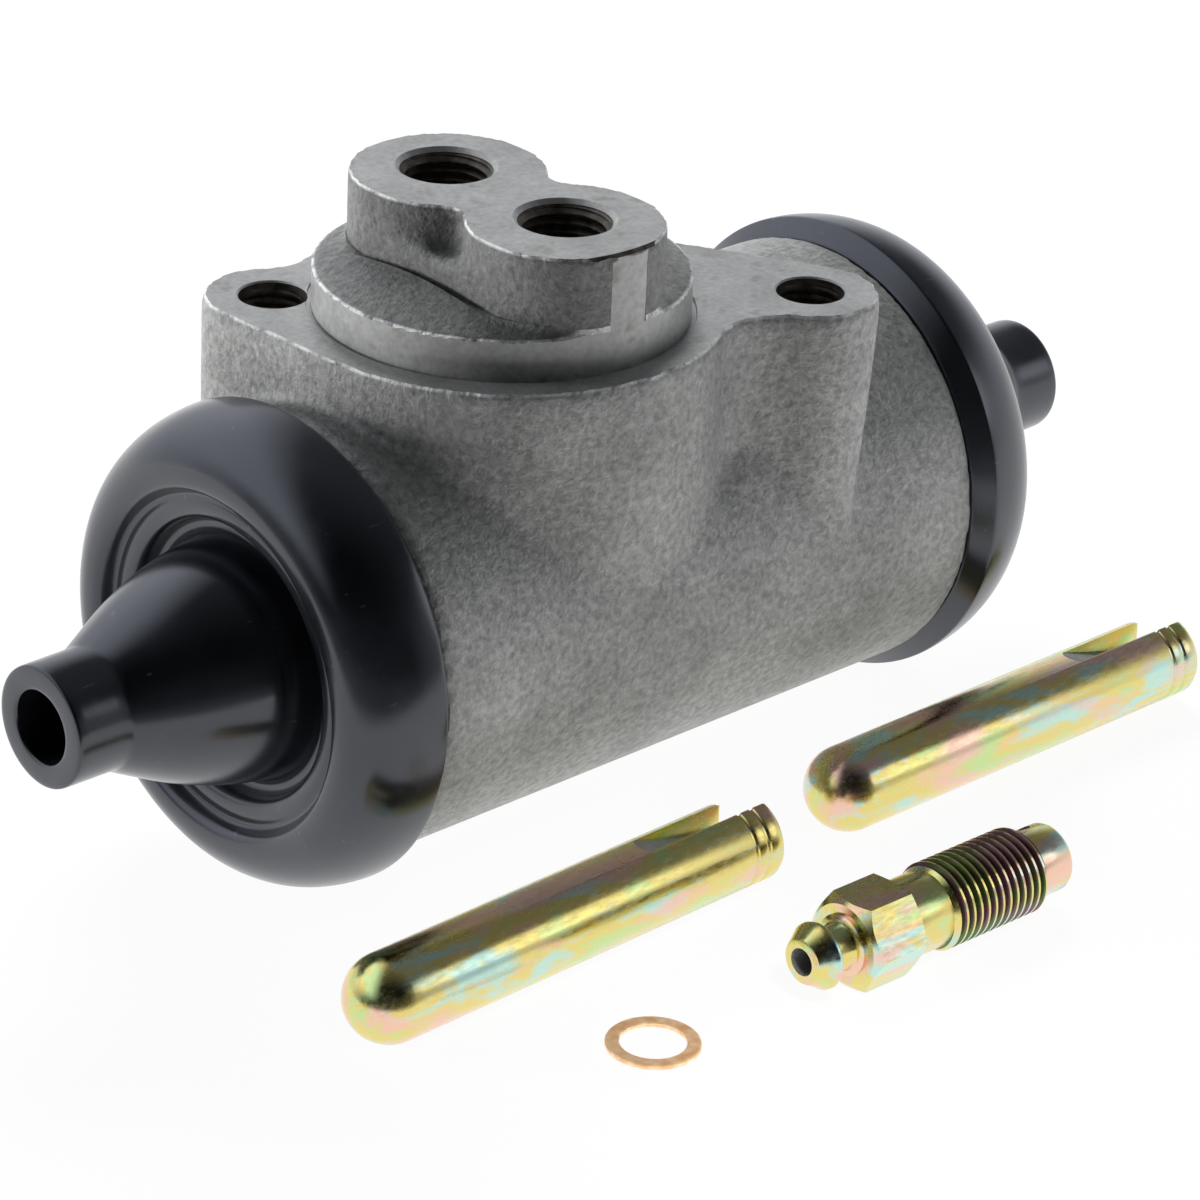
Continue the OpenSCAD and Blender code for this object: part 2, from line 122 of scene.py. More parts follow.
def put(piece, x, y, z, turn=None):
    piece.data.transform(Matrix.Translation((x * MM, y * MM, z * MM)) @ (turn or Matrix.Identity(4)))
    return piece


def stadium(name, radius, low, high):
    profile = [(radius, low), (radius, high)]
    ends = [put(turned(name, profile), lobe_x, y, 0) for y in (front_lobe_y, rear_lobe_y)]
    choose(*ends)
    bpy.ops.object.join()
    edit(ends[0])
    bpy.ops.mesh.convex_hull()
    close_edit()
    return ends[0]


casting = merged_copy("casting", "iron_casting")
cut(casting, put(turned("pocket", [(1.6, 8.0), (2.4, 8.5), (2.5, 12)]), pocket_x, pocket_y, 0))
apply(casting, "REMESH", mode="VOXEL", voxel_size=skin_voxel * MM)
apply(casting, "SMOOTH", factor=0.5, iterations=4)
below = casting.vertex_groups.new(name="flange_and_barrel")
below.add([v.index for v in casting.data.vertices if v.co.z < soft_below * MM], 1.0, "REPLACE")
apply(casting, "SMOOTH", factor=0.5, iterations=9, vertex_group=below.name)
apply(casting, "DISPLACE", strength=stock * MM, mid_level=0.0)
moat = stadium("moat", lobe_r + stock + moat_w, moat_floor, moat_top)
cut(moat, stadium("boss", lobe_r + stock, 0, 20))
edit(moat)
bpy.ops.mesh.bisect(plane_co=(moat_end_x * MM, 0, 0), plane_no=(1, 0, 0), use_fill=True, clear_outer=True)
close_edit()
cut(casting, moat)


def linear(code):
    parts = [int(code[i:i + 2], 16) / 255 for i in (1, 3, 5)]
    return tuple(c / 12.92 if c <= 0.04045 else ((c + 0.055) / 1.055) ** 2.4 for c in parts) + (1.0,)


def add(tree, kind, links=None, **settings):
    node = tree.nodes.new("ShaderNode" + kind)
    for name, value in settings.items():
        setattr(node, name, value)
    for socket, source in (links or {}).items():
        if isinstance(source, bpy.types.NodeSocket):
            tree.links.new(source, node.inputs[socket])
        else:
            node.inputs[socket].default_value = source
    return node


def finish(name, metallic, roughness):
    material = bpy.data.materials.new(name)
    material.use_nodes = True
    tree = material.node_tree
    shader = tree.nodes["Principled BSDF"]
    shader.inputs["Metallic"].default_value = metallic
    shader.inputs["Roughness"].default_value = roughness
    return material, tree, shader, add(tree, "TexCoord").outputs["Object"]


# Grey iron as cast: sand grain of just under a millimetre with painted glints on it, drifts of tone over a
# centimetre, painted shade that darkens the boss above the pilot, and a bright burr, a fifth of a millimetre
# wide, where a machined face breaks the skin.
cast_iron, tree, shader, place = finish("cast_grey_iron", 0.4, 0.55)
drift = add(tree, "TexNoise", {"Vector": place, "Scale": 1 / (13.33 * MM), "Detail": 5.0, "Roughness": 0.6})
grain = add(tree, "TexNoise", {"Vector": place, "Scale": 1 / (0.83 * MM), "Detail": 4.0, "Roughness": 0.65})
point = add(tree, "TexNoise", {"Vector": place, "Scale": 1 / (0.43 * MM), "Detail": 1.0})
level = add(tree, "MapRange", {"Value": drift.outputs["Fac"], "From Min": 0.32, "From Max": 0.68})
skin = add(tree, "Mix", {0: level.outputs["Result"], 6: linear("#858684"), 7: linear("#9e9f9d")},
    data_type="RGBA")
speck = add(tree, "MapRange", {"Value": grain.outputs["Fac"], "From Min": 0.32, "From Max": 0.68,
    "To Min": 0.68, "To Max": 1.25})
grainy = add(tree, "Mix", {0: 1.0, 6: skin.outputs[2], 7: speck.outputs["Result"]},
    data_type="RGBA", blend_type="MULTIPLY")
# painted glints: bright points mixed into the colour of the raw iron
glint = add(tree, "MapRange", {"Value": point.outputs["Fac"], "From Min": 0.66, "From Max": 0.76,
    "To Max": 0.3})
grain_and_painted_light = add(tree, "Mix", {0: glint.outputs["Result"], 6: grainy.outputs[2], 7: linear("#bfc0bf")},
    data_type="RGBA")
axes = add(tree, "SeparateXYZ", {"Vector": place})
# painted shade: raw iron higher than 4 mm, the boss, is darkened to 0.62 of its colour
painted_boss_shade = add(tree, "MapRange", {"Value": axes.outputs["Z"], "From Min": 2.5 * MM, "From Max": 4 * MM,
    "To Min": 1.0, "To Max": 0.62})
grain_and_painted_light = add(tree, "Mix", {0: 1.0, 6: grain_and_painted_light.outputs[2], 7: painted_boss_shade.outputs["Result"]}, data_type="RGBA",
    blend_type="MULTIPLY")
flat = add(tree, "CombineXYZ", {"X": axes.outputs["X"], "Y": axes.outputs["Y"]})
radius = add(tree, "VectorMath", {0: flat.outputs["Vector"]}, operation="LENGTH")
raised = add(tree, "Math", {0: axes.outputs["Z"], 1: 1.0 * MM}, operation="GREATER_THAN")
lowered = add(tree, "Math", {0: 1.0, 1: raised.outputs["Value"]}, operation="SUBTRACT")
flange_edge = add(tree, "MapRange", {"Value": axes.outputs["Z"], "From Min": -0.36 * MM,
    "From Max": -0.16 * MM})
pilot_edge = add(tree, "MapRange", {"Value": radius.outputs["Value"], "From Min": (pilot_r - 0.38) * MM,
    "From Max": (pilot_r - 0.16) * MM})
port_edge = add(tree, "MapRange", {"Value": axes.outputs["Z"], "From Min": (port_face - 0.36) * MM,
    "From Max": (port_face - 0.14) * MM})
flange_burr = add(tree, "Math", {0: flange_edge.outputs["Result"], 1: lowered.outputs["Value"]},
    operation="MULTIPLY")
pilot_rim = add(tree, "Math", {0: axes.outputs["Z"], 1: 4.2 * MM, 2: 0.8 * MM}, operation="COMPARE")
pilot_burr = add(tree, "Math", {0: pilot_edge.outputs["Result"], 1: pilot_rim.outputs["Value"]},
    operation="MULTIPLY")
edges = add(tree, "Math", {0: flange_burr.outputs["Value"], 1: pilot_burr.outputs["Value"]},
    operation="MAXIMUM")
edges = add(tree, "Math", {0: edges.outputs["Value"], 1: port_edge.outputs["Result"]}, operation="MAXIMUM")
ragged = add(tree, "TexNoise", {"Vector": place, "Scale": 1 / (2.38 * MM), "Detail": 5.0,
    "Roughness": 0.75})
broken = add(tree, "MapRange", {"Value": ragged.outputs["Fac"], "From Min": 0.38, "From Max": 0.54})
burr = add(tree, "Math", {0: edges.outputs["Value"], 1: broken.outputs["Result"]}, operation="MULTIPLY")
colour = add(tree, "Mix", {0: burr.outputs["Value"], 6: grain_and_painted_light.outputs[2], 7: linear("#d6d7d7")},
    data_type="RGBA")
tree.links.new(colour.outputs[2], shader.inputs["Base Color"])
bumps = add(tree, "Bump", {"Height": grain.outputs["Fac"], "Strength": 1.0, "Distance": 0.24 * MM})
tree.links.new(bumps.outputs["Normal"], shader.inputs["Normal"])
casting.data.materials.clear()
casting.data.materials.append(cast_iron)

# Turned iron: smoother and brighter, with tool marks round the pilot's axis, cloudy patches of handling
# and a few brown stains. A wave repeats at 0.314 of its scale, so the marks are 0.35 mm apart.
turned_iron, tree, shader, place = finish("turned_grey_iron", 0.45, 0.45)
marks = add(tree, "TexWave", {"Vector": place, "Scale": 1 / (1.11 * MM), "Distortion": 1.5, "Detail": 2.0},
    wave_type="RINGS", rings_direction="Z")
cloud = add(tree, "TexNoise", {"Vector": place, "Scale": 1 / (5.88 * MM), "Detail": 5.0, "Roughness": 0.65})
level = add(tree, "MapRange", {"Value": cloud.outputs["Fac"], "From Min": 0.3, "From Max": 0.7})
clean = add(tree, "Mix", {0: level.outputs["Result"], 6: linear("#8e8f8d"), 7: linear("#afb0af")},
    data_type="RGBA")
spot = add(tree, "TexNoise", {"Vector": place, "Scale": 1 / (3.03 * MM), "Detail": 4.0})
fleck = add(tree, "TexNoise", {"Vector": place, "Scale": 1 / (0.67 * MM), "Detail": 3.0})
pale = add(tree, "MapRange", {"Value": fleck.outputs["Fac"], "From Min": 0.3, "From Max": 0.7,
    "To Min": 0.86, "To Max": 1.1})
clean = add(tree, "Mix", {0: 1.0, 6: clean.outputs[2], 7: pale.outputs["Result"]}, data_type="RGBA",
    blend_type="MULTIPLY")
stain = add(tree, "MapRange", {"Value": spot.outputs["Fac"], "From Min": 0.58, "From Max": 0.74,
    "To Max": 0.55})
colour = add(tree, "Mix", {0: stain.outputs["Result"], 6: clean.outputs[2], 7: linear("#6d665a")},
    data_type="RGBA")
tree.links.new(colour.outputs[2], shader.inputs["Base Color"])
gloss = add(tree, "MapRange", {"Value": cloud.outputs["Fac"], "From Min": 0.3, "From Max": 0.7,
    "To Min": 0.38, "To Max": 0.52})
tree.links.new(gloss.outputs["Result"], shader.inputs["Roughness"])
groove = add(tree, "Bump", {"Height": marks.outputs["Fac"], "Strength": 0.15, "Distance": 0.03 * MM})
scuff = add(tree, "Bump", {"Height": spot.outputs["Fac"], "Normal": groove.outputs["Normal"],
    "Strength": 0.15, "Distance": 0.05 * MM})
tree.links.new(scuff.outputs["Normal"], shader.inputs["Normal"])

# Tapped iron: the tapped holes and the bevel round the port face are painted dark brown, a painted shade.
painted_shade_iron, tree, shader, place = finish("iron_holes_painted_shade", 0.6, 0.45)
dark_patch = add(tree, "TexNoise", {"Vector": place, "Scale": 1 / (1.43 * MM), "Detail": 4.0})
level = add(tree, "MapRange", {"Value": dark_patch.outputs["Fac"], "From Min": 0.35, "From Max": 0.65})
# painted shade: the holes and the bevel round the port face are coloured dark brownish grey
colour = add(tree, "Mix", {0: level.outputs["Result"], 6: linear("#3b3934"), 7: linear("#6a645a")},
    data_type="RGBA")
tree.links.new(colour.outputs[2], shader.inputs["Base Color"])
film = add(tree, "Bump", {"Height": dark_patch.outputs["Fac"], "Strength": 0.2, "Distance": 0.03 * MM})
tree.links.new(film.outputs["Normal"], shader.inputs["Normal"])

# Machined faces: each cut is a tool of turned iron taken out of the casting. The facing tool leaves the
# pilot, its relief groove and the ledge, a mill skims the port face, a lathe the boss's front, and taps cut
# the threads of the ports and ears.
bore_axis, bore_r, seat_r, facing_top = -30, 17.45, 21.8, 4.4
left_shoulder, right_shoulder, left_end, right_end = -27.4, 48.8, -34.3, 55.7
pitch = 25.4 / 24
outward_left, outward_right = Matrix.Rotation(-pi / 2, 4, "Y"), Matrix.Rotation(pi / 2, 4, "Y")


def block(name, low, high):
    centre, size = [[(b + k * a) * MM for a, b in zip(low, high)] for k in (1, -1)]
    bpy.ops.object.select_all(action="DESELECT")
    bpy.ops.mesh.primitive_cube_add(size=1, location=[c / 2 for c in centre], scale=size)
    bpy.ops.object.transform_apply(location=True, rotation=True, scale=True)
    bpy.context.object.name = name
    return bpy.context.object


def helix(name, inner, outer, turns, steps=48):
    mesh = bpy.data.meshes.new(name)
    crest = [(inner, 0), (outer, 0.44 * pitch), (outer, 0.56 * pitch), (inner, pitch)]
    mesh.from_pydata([(r * MM, 0, z * MM) for r, z in crest], [(0, 1), (1, 2), (2, 3)], [])
    piece = bpy.data.objects.new(name, mesh)
    bpy.context.collection.objects.link(piece)
    apply(piece, "SCREW", axis="Z", angle=2 * pi, screw_offset=pitch * MM, iterations=turns, steps=steps,
        render_steps=steps, use_merge_vertices=True, merge_threshold=0.001 * MM)
    edit(piece)
    bpy.ops.mesh.remove_doubles(threshold=0.001 * MM)
    bpy.ops.mesh.fill_holes(sides=0)
    bpy.ops.mesh.select_all(action="SELECT")
    bpy.ops.mesh.quads_convert_to_tris()
    close_edit()
    return piece


cut(casting, turned("facing", [(pilot_r, -0.25), (pilot_r + 0.5, -0.25), (pilot_r + 0.6, 0), (60, 0),
    (60, facing_top), (pilot_r, facing_top), (pilot_r, -0.25)], 192), turned_iron)
cut(casting, turned("mill", [(40, port_face), (40, port_face + 10)], 64), turned_iron)
# The bevel round the port face's outer edge takes the painted shade of the holes.
cut(casting, turned("chamfer", [(pilot_r - 0.45, port_face + 0.05), (pilot_r - 0.05, port_face - 0.35),
    (40, port_face - 0.35), (40, port_face + 0.05), (pilot_r - 0.45, port_face + 0.05)], 192), painted_shade_iron)
skim = block("skim", (-3.1, -30, facing_top - 0.1), (1.6, -12, 20))
cut(skim, turned("swing", [(pilot_r, -5), (pilot_r, 25)], 192), turned_iron)
cut(casting, skim, turned_iron)
cut(casting, put(turned("bore", [(bore_r, left_end - 5), (bore_r, right_end + 5)], 128), 0, 0, bore_axis,
    outward_right), turned_iron)
for near, far in ((left_shoulder, left_end - 5), (right_shoulder, right_end + 5)):
    seat = turned("seat", [(seat_r, near), (40, near), (40, far), (seat_r, far), (seat_r, near)], 128)
    cut(casting, put(seat, 0, 0, bore_axis, outward_right), turned_iron)
# Each tapped hole: its x and y, the face it starts from, its tapping radius and the radius of its mouth.
for x, y, z, r, mouth in ((0, -9.1, port_face, 4.35, 5.4), (0, 9.1, port_face, 4.35, 5.4),
        (-17.2, 16.4, 0, 3.4, 3.8), (28.3, -17.2, 0, 3.4, 3.8)):
    rim = 0.45 * (mouth - r)
    drill = turned("drill", [(0.2, -16.2), (r, -14), (r, -1.3), (mouth - rim, -0.6), (mouth - rim, 1)])
    cut(casting, put(drill, x, y, z), painted_shade_iron)
    cut(casting, put(helix("tap", r - 0.15, mouth - rim - 0.05, 13), x, y, z - 14.2), painted_shade_iron)
    sink = turned("countersink", [(mouth - rim - 0.1, -rim - 0.1), (mouth, 0), (mouth + 0.05, 1)])
    cut(casting, put(sink, x, y, z), turned_iron)
edit(casting)
bpy.ops.mesh.select_all(action="DESELECT")
casting.active_material_index = 0
bpy.ops.object.material_slot_select()
bpy.ops.mesh.region_to_loop()
bpy.ops.mesh.mark_sharp()
bpy.ops.object.mode_set(mode="OBJECT")
choose(casting)
bpy.ops.object.shade_smooth_by_angle(angle=radians(38))
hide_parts("casting")
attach(casting, "cylinder")

# Rubber boots: one moulding for each end, snapped over the turned seat by its lip. The skin runs from the
# lip's bevelled back over the rolled crest, through a groove and the fold round the nose, down the cone to
# its tube and back inside.
crest = [(19.8 + 6.2 * cos(radians(a)), 1.95 + 9.5 * sin(radians(a))) for a in range(4, 91, 9)]
roll = [(19.8 + 1.6 * cos(radians(a)), 9.85 + 1.6 * sin(radians(a))) for a in range(110, 171, 14)]
fold = [(14.02 + 0.88 * cos(radians(a)), 7.95 + 0.8 * sin(radians(a))) for a in range(0, -181, -30)]
boot_skin = [(21.9, 0.1), (22.1, 0.1), (23.9, 0.1), (24.0, 0.13), (24.2, 0.3), (25.8, 1.78), (25.93, 1.9),
    (25.99, 2.0), *crest, *roll, (18.0, 9.6), (17.6, 9.38), (17.15, 9.6), (16.6, 9.75),
    (15.7, 9.6), (15.1, 9.25), *fold, (12.95, 8.65), (12.72, 9.6), (12.45, 12.1),
    (11.4, 15.6), (10.15, 19.2), (8.3, 22.9), (6.8, 25.9), (6.55, 26.4), (6.5, 27.0), (6.5, 32.7),
    (6.45, 32.95), (6.25, 33.1), (4.1, 33.1), (3.94, 33.0), (3.9, 32.7), (3.9, 26.4), (6.0, 22.8),
    (8.0, 19.2), (9.1, 15.6), (10.2, 12.1), (11.0, 7.2), (13.2, 5.2), (14.8, 5.2), (15.7, 7.1),
    (18.2, 7.2), (19.2, 8.8), (20.2, 9.2), (21.2, 8.8), (21.9, 7.1), (21.9, 4.5), (21.9, 0.3), (21.9, 0.1)]

# Moulded rubber: deep black with a soft sheen, a faint grey bloom that breaks it, and fine scuffs.
rubber, tree, shader, place = finish("moulded_black_rubber", 0.0, 0.25)
shader.inputs["Specular IOR Level"].default_value = 0.95
# painted reflection colour: the blue tint of the rubber's reflections stands in for the bluish light around
# it
shader.inputs["Specular Tint"].default_value = linear("#ecf1fd")
bloom = add(tree, "TexNoise", {"Vector": place, "Scale": 1 / (9.09 * MM), "Detail": 5.0, "Roughness": 0.6})
haze = add(tree, "MapRange", {"Value": bloom.outputs["Fac"], "From Min": 0.35, "From Max": 0.7})
black = add(tree, "Mix", {0: haze.outputs["Result"], 6: linear("#0d0e10"), 7: linear("#181a1e")},
    data_type="RGBA")
stretch = add(tree, "Mapping", {"Vector": place, "Scale": (0.1, 1.0, 1.0)})
rub = add(tree, "TexNoise", {"Vector": stretch.outputs["Vector"], "Scale": 1 / (0.67 * MM), "Detail": 2.0})
line = add(tree, "MapRange", {"Value": rub.outputs["Fac"], "From Min": 0.7, "From Max": 0.78,
    "To Max": 0.4})
colour = add(tree, "Mix", {0: line.outputs["Result"], 6: black.outputs[2], 7: linear("#55585c")},
    data_type="RGBA")
tree.links.new(colour.outputs[2], shader.inputs["Base Color"])
gloss = add(tree, "MapRange", {"Value": bloom.outputs["Fac"], "From Min": 0.3, "From Max": 0.7,
    "To Min": 0.15, "To Max": 0.28})
tree.links.new(gloss.outputs["Result"], shader.inputs["Roughness"])
worn = add(tree, "Bump", {"Height": rub.outputs["Fac"], "Strength": 0.04, "Distance": 0.03 * MM})
tree.links.new(worn.outputs["Normal"], shader.inputs["Normal"])

for name, shoulder, outward in (("left_boot", left_shoulder, outward_left),
        ("right_boot", right_shoulder, outward_right)):
    boot = put(turned(name + "_rubber", boot_skin), shoulder, 0, bore_axis, outward)
    apply(boot, "SUBSURF", levels=1, render_levels=1)
    boot.data.materials.append(rubber)
    choose(boot)
    bpy.ops.object.shade_smooth_by_angle(angle=radians(50))
    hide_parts(name)
    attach(boot, "cylinder")

# Pistons, cup seals and expanders: turned aluminium, moulded rubber and pressed steel, shut in by the boots.
# They keep the shapes of the CAD solids and get the finish of the real ones.
aluminium, tree, shader, place = finish("turned_aluminium", 1.0, 0.35)
lathe = add(tree, "TexWave", {"Vector": place, "Scale": 1 / (1.25 * MM), "Distortion": 1.0},
    bands_direction="X")
shine = add(tree, "Mix", {0: lathe.outputs["Fac"], 6: linear("#c3c5c8"), 7: linear("#dcdee0")},
    data_type="RGBA")
tree.links.new(shine.outputs[2], shader.inputs["Base Color"])
spring_steel, tree, shader, place = finish("drawn_spring_steel", 1.0, 0.32)
drawn = add(tree, "TexNoise", {"Vector": place, "Scale": 1 / (1.11 * MM), "Detail": 3.0})
shine = add(tree, "Mix", {0: drawn.outputs["Fac"], 6: linear("#8b8d90"), 7: linear("#b3b5b8")},
    data_type="RGBA")
tree.links.new(shine.outputs[2], shader.inputs["Base Color"])
for side in ("left", "right"):
    for kind, material in (("piston", aluminium), ("cup", rubber), ("expander", spring_steel)):
        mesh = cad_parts[side + "_" + kind].data
        mesh.materials.clear()
        mesh.materials.append(material)

# Return spring: coiled from drawn wire with closed ends that press the expanders into the cups. It is cut
# into two halves at the middle of the bore.
spring_left, spring_middle, spring_right = -8.2, 10.7, 29.6
halves = [merged_copy("return_spring", side + "_spring_half") for side in ("left", "right")]
for half, tip, body in zip(halves, (spring_left, spring_right), ("left_piston", "right_piston")):
    edit(half)
    bpy.ops.mesh.bisect(plane_co=(spring_middle * MM, 0, 0), plane_no=(1, 0, 0), use_fill=True,
        clear_outer=tip < spring_middle, clear_inner=tip > spring_middle)
    close_edit()
    half.data.materials.append(spring_steel)
    choose(half)
    bpy.ops.object.shade_smooth_by_angle(angle=radians(50))
    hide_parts("return_spring")
    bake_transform(half)

# Push rods: turned from 3/8 in bar with a round end and two ring grooves, slotted on a slope by a disc
# cutter, one tine sawn shorter, then zinc plated. They lie loose on the floor.
rod_r, rod_end, fork_len, fork_w, slope, tine_short = 4.75, 51.75, 17.4, 2.8, radians(16), 4.0
floor_z = -56
ball = [(rod_r * cos(radians(a)), rod_r * sin(radians(a))) for a in range(-87, 1, 6)]
rings = []
for back in (3.8, 2.0):
    groove_at = rod_end - back
    rings += [(rod_r, groove_at - 0.62), (rod_r - 0.2, groove_at - 0.48), (rod_r - 0.2, groove_at - 0.14),
        (rod_r, groove_at)]
rod_skin = [*ball, (rod_r, 1), *rings, (rod_r, rod_end - 0.55), (rod_r - 0.12, rod_end - 0.25),
    (rod_r - 0.5, rod_end)]

# Yellow zinc: bright plating whose thin passivation turns yellow, green, pink and pale blue in long patches.
zinc, tree, shader, place = finish("yellow_passivated_zinc", 1.0, 0.2)
stretch = add(tree, "Mapping", {"Vector": place, "Scale": (0.28, 1.0, 1.0)})
film = add(tree, "TexNoise", {"Vector": stretch.outputs["Vector"], "Scale": 1 / (4.17 * MM), "Detail": 3.0,
    "Roughness": 0.6, "Distortion": 0.6})
blot = add(tree, "TexNoise", {"Vector": stretch.outputs["Vector"], "Scale": 1 / (3.03 * MM), "Detail": 2.0})
low = add(tree, "MapRange", {"Value": film.outputs["Fac"], "From Min": 0.38, "From Max": 0.48})
high = add(tree, "MapRange", {"Value": film.outputs["Fac"], "From Min": 0.52, "From Max": 0.62})
rosy = add(tree, "MapRange", {"Value": blot.outputs["Fac"], "From Min": 0.5, "From Max": 0.63,
    "To Max": 0.85})
cool = add(tree, "Mix", {0: low.outputs["Result"], 6: linear("#bfe0d2"), 7: linear("#e4d280")},
    data_type="RGBA")
green = add(tree, "Mix", {0: high.outputs["Result"], 6: cool.outputs[2], 7: linear("#c8dd98")},
    data_type="RGBA")
pink = add(tree, "Mix", {0: rosy.outputs["Result"], 6: green.outputs[2], 7: linear("#f0c2b2")},
    data_type="RGBA")
tree.links.new(pink.outputs[2], shader.inputs["Base Color"])
scratch = add(tree, "TexNoise", {"Vector": stretch.outputs["Vector"], "Scale": 1 / (0.42 * MM),
    "Detail": 3.0})
gloss = add(tree, "MapRange", {"Value": scratch.outputs["Fac"], "From Min": 0.3, "From Max": 0.7,
    "To Min": 0.16, "To Max": 0.3})
tree.links.new(gloss.outputs["Result"], shader.inputs["Roughness"])
hairs = add(tree, "Bump", {"Height": scratch.outputs["Fac"], "Strength": 0.1, "Distance": 0.02 * MM})
tree.links.new(hairs.outputs["Normal"], shader.inputs["Normal"])

# Grey zinc: the floor of the fork's slot and the bores of the bleed screw are painted grey, a painted shade,
# and dull.
shaded_cut_zinc, tree, shader, place = finish("grey_zinc_painted_shade", 0.6, 0.55)
patch = add(tree, "TexNoise", {"Vector": place, "Scale": 1 / (1.67 * MM), "Detail": 4.0})
# painted shade: the floor of the slot and the screw's bores are coloured mid grey instead of yellow
colour = add(tree, "Mix", {0: patch.outputs["Fac"], 6: linear("#7d7e7c"), 7: linear("#a6a7a2")},
    data_type="RGBA")
tree.links.new(colour.outputs[2], shader.inputs["Base Color"])
saw = add(tree, "Bump", {"Height": patch.outputs["Fac"], "Strength": 0.2, "Distance": 0.03 * MM})
tree.links.new(saw.outputs["Normal"], shader.inputs["Normal"])

for name, x, y, turn in (("left_push_rod", -44, -34.55, 1.2), ("right_push_rod", 23, -32.25, 0.0)):
    rod = turned(name + "_zinc", rod_skin, 72)
    rod.data.materials.append(zinc)
    disc = block("disc", (-12, -fork_w / 2, 0), (0, fork_w / 2, 30))
    disc.data.materials.append(zinc)
    disc.data.materials.append(shaded_cut_zinc)
    for face in disc.data.polygons:
        face.material_index = face.normal.x > 0.9
    cut(rod, put(disc, -rod_r, 0, rod_end - fork_len, Matrix.Rotation(slope, 4, "Y")))
    cut(rod, block("saw", (-6, 0, rod_end - tine_short), (6, 6, rod_end + 2)), zinc)
    apply(rod, "BEVEL", width=0.1 * MM, segments=2, limit_method="ANGLE", angle_limit=radians(40))
    put(rod, x, y, floor_z + rod_r, Matrix.Rotation(radians(turn), 4, "Z") @ outward_right)
    choose(rod)
    bpy.ops.object.shade_smooth_by_angle(angle=radians(35))
    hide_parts(name)
    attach(rod, "cylinder")

# Bleed screw: turned in one piece from hexagon bar, with a barbed nipple, a rolled 3/8-24 thread and a plain
# sealing tip, drilled through to a cross hole in the tip and plated like the rods.
hex_flat, hex_at, neck_at, thread_at, tip_at, screw_end = 4.75, 5.9, 13.0, 17.6, 32.0, 36.1
hex_r = hex_flat / cos(pi / 6)

# Zinc in a thread: strong green and magenta in the plating, and the whole thread painted darker, a painted
# shade.
shaded_thread_zinc, tree, shader, place = finish("thread_zinc_painted_shade", 1.0, 0.3)
tint = add(tree, "TexNoise", {"Vector": place, "Scale": 1 / (5 * MM), "Detail": 2.0})
level = add(tree, "MapRange", {"Value": tint.outputs["Fac"], "From Min": 0.42, "From Max": 0.6})
# painted shade: the thread is coloured dark green and magenta rather than bright yellow
colour = add(tree, "Mix", {0: level.outputs["Result"], 6: linear("#667848"), 7: linear("#80606a")},
    data_type="RGBA")
tree.links.new(colour.outputs[2], shader.inputs["Base Color"])

screw = turned("bleed_screw_zinc", [(2.2, 0), (2.45, 0.12), (3.3, 1.6), (3.55, 1.95), (3.6, 2.2),
    (3.5, 2.5), (3.15, 2.75), (2.7, 2.9), (2.5, 3.1), (2.5, 5.0), (2.65, 5.25), (3.1, 5.4), (3.3, 5.6),
    (3.3, neck_at - 1), (4.2, neck_at - 0.9), (4.2, thread_at + 0.1), (4.1, thread_at + 0.4),
    (4.1, tip_at - 0.6), (3.75, tip_at - 0.3), (3.75, screw_end - 0.6), (3.6, screw_end - 0.25),
    (3.15, screw_end)], 72)
screw.data.materials.append(zinc)
hexagon = turned("hexagon", [(hex_r, hex_at), (hex_r, neck_at)], 6)
cut(hexagon, turned("bevel", [(hex_flat - 0.4, hex_at), (hex_r, hex_at + 0.9), (hex_r, neck_at - 0.5),
    (hex_flat - 0.4, neck_at)], 72), zinc, "INTERSECT")
cut(screw, hexagon, zinc, "UNION")
thread = put(helix("thread", 3.95, 4.9, 15), 0, 0, thread_at - 0.8)
thread.data.materials.append(shaded_thread_zinc)
cut(thread, turned("runout", [(3.9, thread_at - 0.2), (4.75, thread_at + 0.75), (4.75, tip_at - 1.1),
    (3.7, tip_at - 0.1)], 72), zinc, "INTERSECT")
cut(screw, thread, None, "UNION")
cut(screw, turned("passage", [(1.5, -1), (1.5, 34.05)], 48), shaded_cut_zinc)
across_tip = Matrix.Rotation(pi / 3, 4, "Z") @ Matrix.Rotation(pi / 2, 4, "X")
cut(screw, put(turned("outlet", [(0.9, -6), (0.9, 6)], 32), 0, 0, tip_at + 1.64, across_tip), shaded_cut_zinc)
put(screw, -7.3, -55.55, floor_z + hex_flat, Matrix.Rotation(radians(-1), 4, "Z") @ outward_right)
choose(screw)
bpy.ops.object.shade_smooth_by_angle(angle=radians(32))
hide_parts("bleed_screw")
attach(screw, "cylinder")

# Sealing washer: stamped from soft copper sheet, so its edges are rolled over a little. It lies loose on the
# floor and is crushed under a pipe union when the cylinder is fitted.
washer = turned("washer_copper", [(3.4, 0.1), (3.48, 0.0), (4.78, 0.0), (4.85, 0.08), (4.85, 0.38),
    (4.72, 0.5), (3.5, 0.5), (3.4, 0.42), (3.4, 0.1)])
put(washer, -24.4, -52.15, floor_z)

